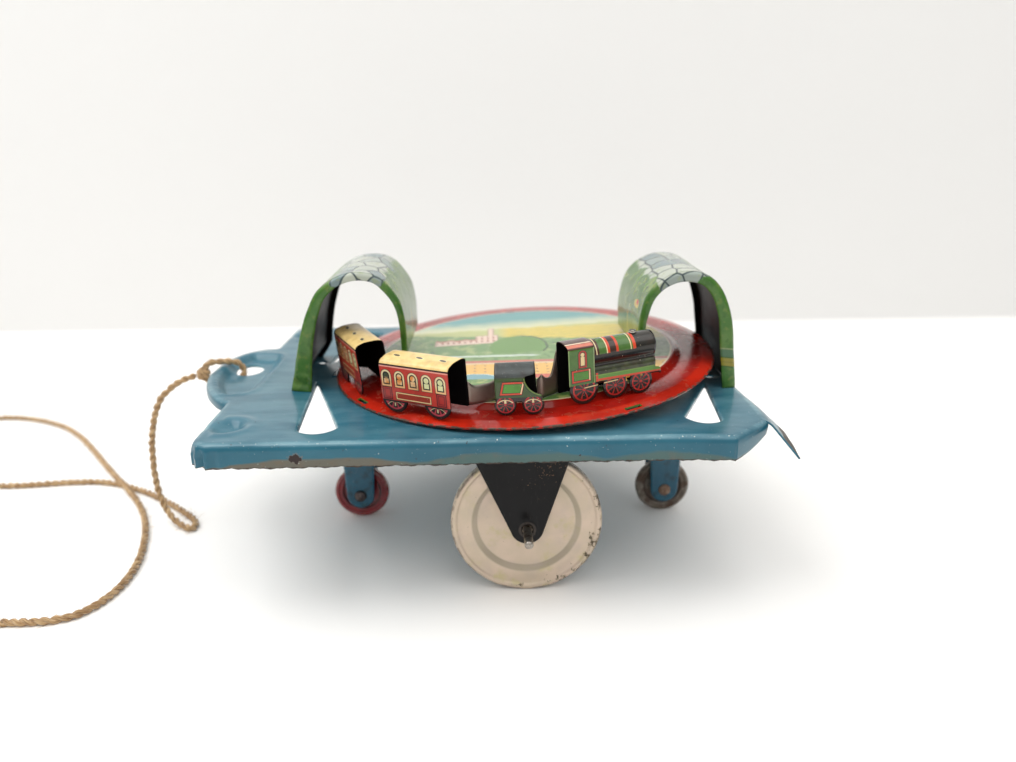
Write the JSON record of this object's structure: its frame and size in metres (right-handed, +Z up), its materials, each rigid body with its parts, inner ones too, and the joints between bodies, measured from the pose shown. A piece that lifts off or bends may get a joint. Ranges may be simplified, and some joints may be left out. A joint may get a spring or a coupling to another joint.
{
  "type": "tin-plate pull-along train toy",
  "caption": "Pull-along tin toy: a wheeled platform whose cross axle turns a round deck that carries a little train through two arched tunnels.",
  "frame": {"origin": "on the floor, at the middle of the whole footprint, the laid-out twine included; the turntable's middle stands over x 92.2, y -20 mm", "axes": "+X from the pull tab to the other end (the toy is pulled towards -X), +Y away from the side the engine is on, +Z up"},
  "size_m": [0.323, 0.1645, 0.0859],
  "materials": {
    "blue_enamel": "glossy enamel, worn and chipped",
    "black_enamel": "glossy enamel",
    "red_enamel": "glossy lithographed tin",
    "red_litho": "glossy lithographed tin",
    "green_litho": "glossy lithographed tin",
    "silver_lacquer": "silver lacquer, yellowed and chipped",
    "dark_red_enamel": "glossy enamel",
    "tinned_steel": "tinned steel, tarnished",
    "plain_steel": "drawn steel, dulled",
    "bare_tin": "bare tin plate, spotted",
    "black_rubber": "hardened rubber",
    "jute_twine": "two-ply jute twine"
  },
  "bodies": {
    "chassis": {"platform": "blue_enamel", "tunnel_left": "green_litho", "tunnel_right": "green_litho", "drive_bracket_front": "black_enamel", "drive_bracket_rear": "black_enamel", "drive_rivet_front_left": "tinned_steel", "drive_rivet_front_right": "tinned_steel", "drive_rivet_rear_left": "tinned_steel", "drive_rivet_rear_right": "tinned_steel", "nose_fork": "blue_enamel", "tail_fork": "blue_enamel", "nose_fork_rivet": "tinned_steel", "tail_fork_rivet": "tinned_steel", "nose_wheel_pin": "plain_steel", "tail_wheel_pin": "plain_steel", "spindle_bush": "plain_steel", "cord_hitch": "jute_twine"},
    "drive": {"drive_axle": "plain_steel", "drive_wheel_front_outer": "silver_lacquer", "drive_wheel_front_inner": "silver_lacquer", "drive_wheel_rear_outer": "silver_lacquer", "drive_wheel_rear_inner": "silver_lacquer", "drive_hub_front": "plain_steel", "drive_hub_rear": "plain_steel", "friction_roller": "black_rubber"},
    "turntable": {"turntable_disc": "red_enamel", "coach_rear": "red_litho", "coach_front": "red_litho", "tender": "green_litho", "locomotive": "green_litho", "coach_link": "bare_tin", "tender_link": "bare_tin", "engine_link": "bare_tin", "spindle": "plain_steel", "spindle_flange": "plain_steel", "spindle_spacer": "plain_steel", "friction_disc": "plain_steel", "friction_collar": "plain_steel"},
    "nose_wheel": {"nose_wheel_outer": "dark_red_enamel", "nose_wheel_inner": "dark_red_enamel", "nose_hub": "plain_steel"},
    "tail_wheel": {"tail_wheel_outer": "tinned_steel", "tail_wheel_inner": "tinned_steel", "tail_hub": "plain_steel"},
    "cord": {"pull_cord": "jute_twine"}
  },
  "joints": [
    {"name": "drive_axle_turn", "type": "hinge", "parent": "chassis", "child": "drive", "pos_m": [0.0905, -0.02, 0.021], "axis": [0, 1, 0], "continuous": true},
    {"name": "turntable_turn", "type": "hinge", "parent": "chassis", "child": "turntable", "pos_m": [0.0922, -0.02, 0.055], "axis": [-0.0539, -0.0409, 0.9977], "continuous": true},
    {"name": "nose_wheel_turn", "type": "hinge", "parent": "chassis", "child": "nose_wheel", "pos_m": [0.0375, -0.02, 0.009], "axis": [0, 1, 0], "continuous": true},
    {"name": "tail_wheel_turn", "type": "hinge", "parent": "chassis", "child": "tail_wheel", "pos_m": [0.139, -0.02, 0.009], "axis": [0, 1, 0], "continuous": true},
    {"name": "cord_lift", "type": "hinge", "parent": "chassis", "child": "cord", "pos_m": [-0.0134, -0.0126, 0.0486], "axis": [0, 1, 0], "range_deg": [0, 35]}
  ],
  "couplings": [
    {"joint": "turntable_turn", "follows": "drive_axle_turn", "ratio": -0.896}
  ]
}
